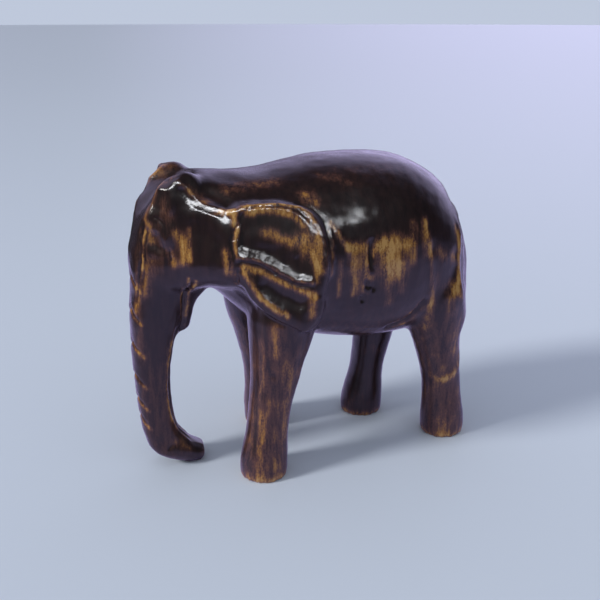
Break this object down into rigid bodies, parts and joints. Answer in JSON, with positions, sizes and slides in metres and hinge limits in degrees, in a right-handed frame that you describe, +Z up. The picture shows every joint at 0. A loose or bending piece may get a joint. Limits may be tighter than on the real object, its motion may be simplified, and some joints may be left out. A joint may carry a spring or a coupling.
{
  "type": "carved wooden elephant figurine",
  "caption": "Standing elephant carved from one block of dark lacquered wood, with domed head, hanging trunk, relief ears and striding legs.",
  "frame": {"origin": "on the floor, under the middle of the figure's bounding box", "axes": "+Z up, +X towards the rump and -X towards the face, -Y towards the elephant's left side"},
  "size_m": [0.1738, 0.082, 0.1479],
  "materials": {
    "carved_elephant": "dark stain rubbed through to honey brown on the high spots, under a clear gloss lacquer"
  },
  "bodies": {
    "root": {"carved_elephant": "carved_elephant"}
  },
  "joints": []
}
